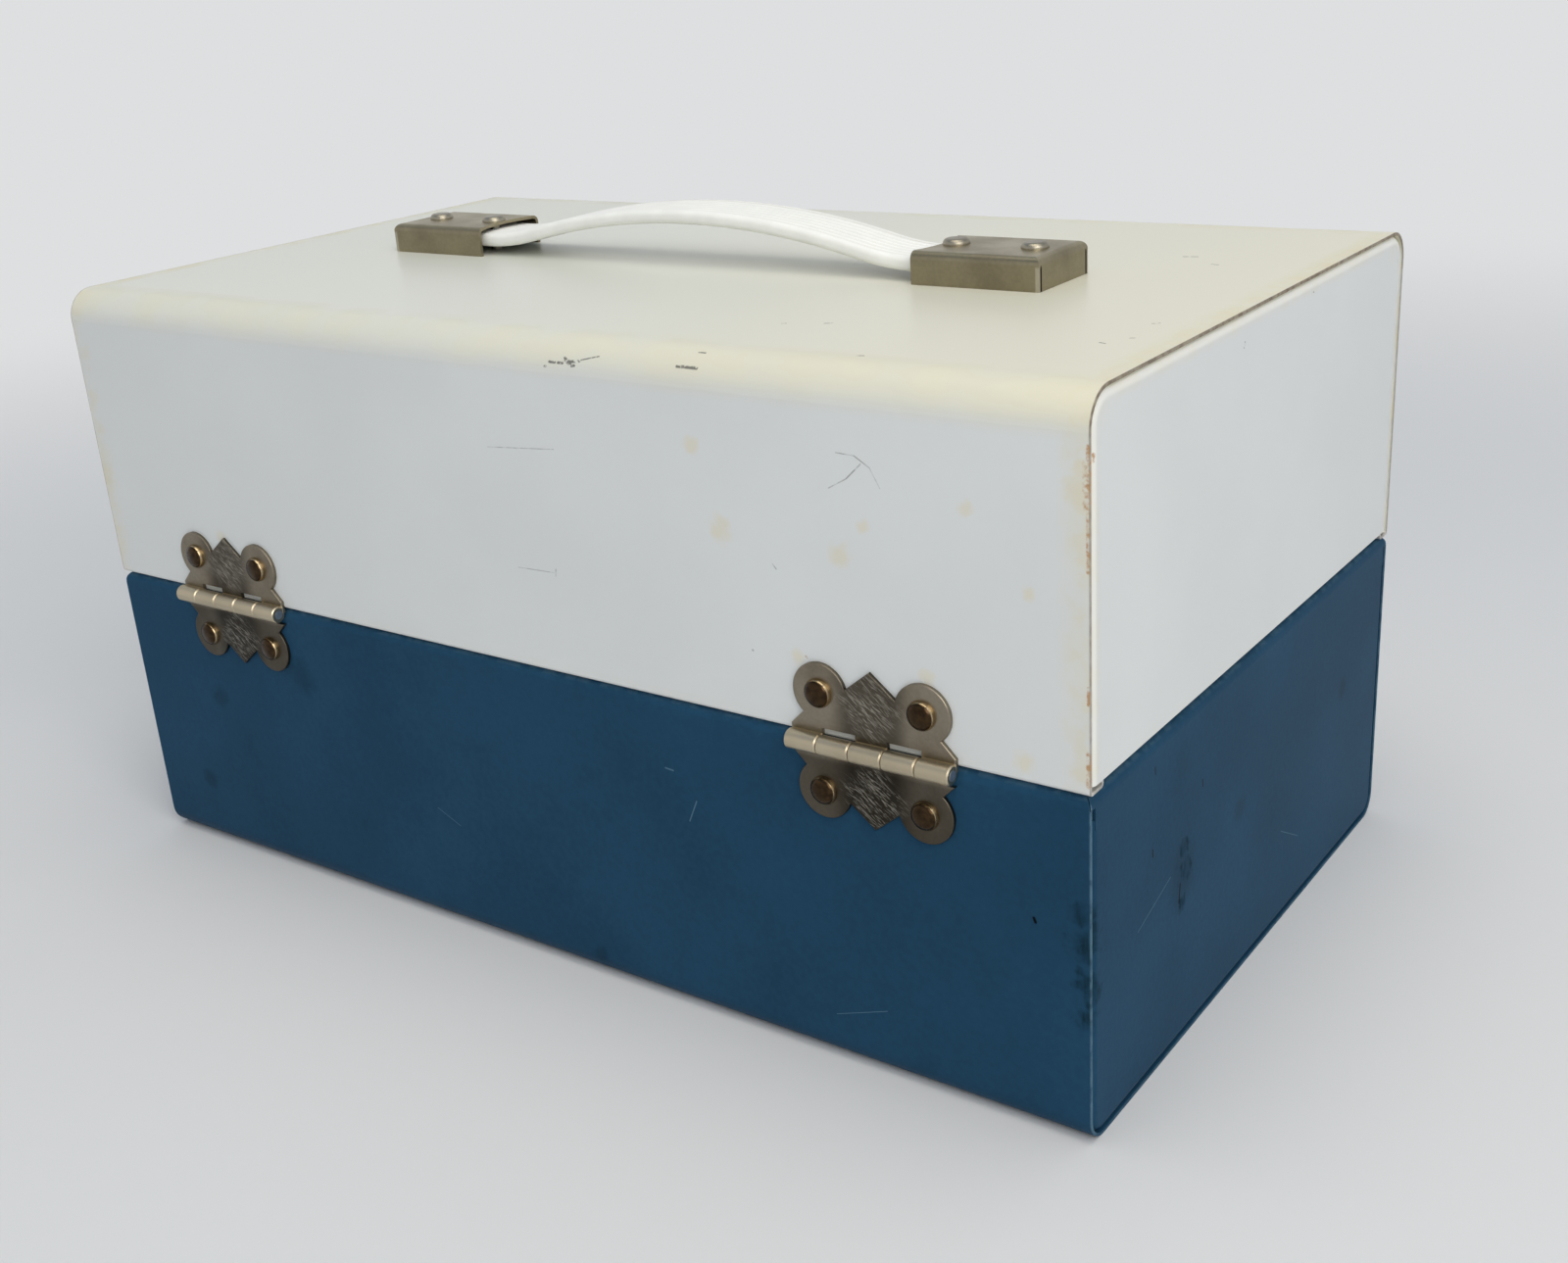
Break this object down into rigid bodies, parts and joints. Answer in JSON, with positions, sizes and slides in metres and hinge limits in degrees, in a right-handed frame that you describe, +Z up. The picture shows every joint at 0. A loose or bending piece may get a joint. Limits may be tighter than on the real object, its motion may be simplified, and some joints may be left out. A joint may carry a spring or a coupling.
{
  "type": "fleet guessing game case",
  "caption": "Sheet-steel carrying case with a hinged lid, butterfly hinges, a hasp latch and a strap handle, holding peg boards, ships and pegs for a fleet guessing game.",
  "frame": {"origin": "middle of the case's underside", "axes": "+X along the case's length, +Y towards the hinges at the back, +Z up"},
  "size_m": [0.3556, 0.2138, 0.2056],
  "materials": {
    "blue_enamel": "worn semi-gloss enamel",
    "white_enamel": "worn, slightly yellowed gloss enamel",
    "nickel_plate": "dull nickel plate",
    "pin_steel": "dull steel",
    "rivet_brass": "tarnished brass",
    "rivet_nickel": "dull nickel plate",
    "strap_vinyl": "ribbed white vinyl",
    "rail_steel": "bare folded steel",
    "board_plastic": "moulded plastic with printed grids",
    "screw_steel": "zinc plate",
    "tray_plastic": "moulded plastic",
    "hit_plastic": "moulded plastic",
    "miss_plastic": "moulded plastic",
    "first_fleet_plastic": "moulded plastic",
    "second_fleet_plastic": "moulded plastic"
  },
  "bodies": {
    "base": {"base_wrap": "blue_enamel", "base_end_left": "blue_enamel", "base_end_right": "blue_enamel", "left_hinge_base_leaf": "nickel_plate", "right_hinge_base_leaf": "nickel_plate", "left_hinge_pin": "pin_steel", "right_hinge_pin": "pin_steel", "hinge_base_rivets": "rivet_brass", "latch_bracket": "nickel_plate", "latch_pin": "pin_steel", "latch_bracket_rivets": "rivet_brass", "base_rail_left": "rail_steel", "base_rail_right": "rail_steel", "base_board": "board_plastic", "base_board_screws": "screw_steel", "peg_tray": "tray_plastic", "hit_pegs": "hit_plastic", "miss_pegs": "miss_plastic", "first_carrier": "first_fleet_plastic", "first_battleship": "first_fleet_plastic", "first_cruiser": "first_fleet_plastic", "first_submarine": "first_fleet_plastic", "first_patrol_boat": "first_fleet_plastic", "second_carrier": "second_fleet_plastic", "second_battleship": "second_fleet_plastic", "second_cruiser": "second_fleet_plastic", "second_submarine": "second_fleet_plastic", "second_patrol_boat": "second_fleet_plastic"},
    "lid": {"lid_wrap": "white_enamel", "lid_end_left": "white_enamel", "lid_end_right": "white_enamel", "left_hinge_lid_leaf": "nickel_plate", "right_hinge_lid_leaf": "nickel_plate", "hinge_lid_rivets": "rivet_brass", "handle_cap_left": "nickel_plate", "handle_cap_right": "nickel_plate", "handle_rivets": "rivet_nickel", "latch_catch": "nickel_plate", "latch_catch_rivets": "rivet_brass", "lid_rail_left": "rail_steel", "lid_rail_right": "rail_steel", "lid_board": "board_plastic", "lid_board_screws": "screw_steel"},
    "hasp": {"latch_hasp": "nickel_plate"},
    "strap_end_left": {"strap_left_end": "strap_vinyl"},
    "strap_half_left": {"strap_left_half": "strap_vinyl"},
    "strap_half_right": {"strap_right_half": "strap_vinyl"},
    "strap_end_right": {"strap_right_end": "strap_vinyl"}
  },
  "joints": [
    {"name": "lid_hinge", "type": "hinge", "parent": "base", "child": "lid", "pos_m": [0, 0.1043, 0.094], "axis": [-1, 0, 0], "range_deg": [0, 160]},
    {"name": "hasp_hinge", "type": "hinge", "parent": "base", "child": "hasp", "pos_m": [0, -0.1043, 0.0833], "axis": [-1, 0, 0], "range_deg": [0, 180]},
    {"name": "strap_slide", "type": "slide", "parent": "lid", "child": "strap_end_left", "axis": [1, 0, 0], "range_m": [0, 0.00308]},
    {"name": "handle_lift", "type": "hinge", "parent": "strap_end_left", "child": "strap_half_left", "pos_m": [-0.081, 0, 0.1956], "axis": [0, -1, 0], "range_deg": [0, 12]},
    {"name": "strap_crown", "type": "hinge", "parent": "strap_half_left", "child": "strap_half_right", "pos_m": [0, 0, 0.2014], "axis": [0, -1, 0], "range_deg": [-24, 0]},
    {"name": "strap_right_bend", "type": "hinge", "parent": "strap_half_right", "child": "strap_end_right", "pos_m": [0.081, 0, 0.1956], "axis": [0, -1, 0], "range_deg": [0, 12]}
  ],
  "couplings": [
    {"joint": "strap_slide", "follows": "handle_lift", "m_per_rad": 0.014209},
    {"joint": "strap_crown", "follows": "handle_lift", "ratio": -2},
    {"joint": "strap_right_bend", "follows": "handle_lift", "ratio": 1}
  ]
}
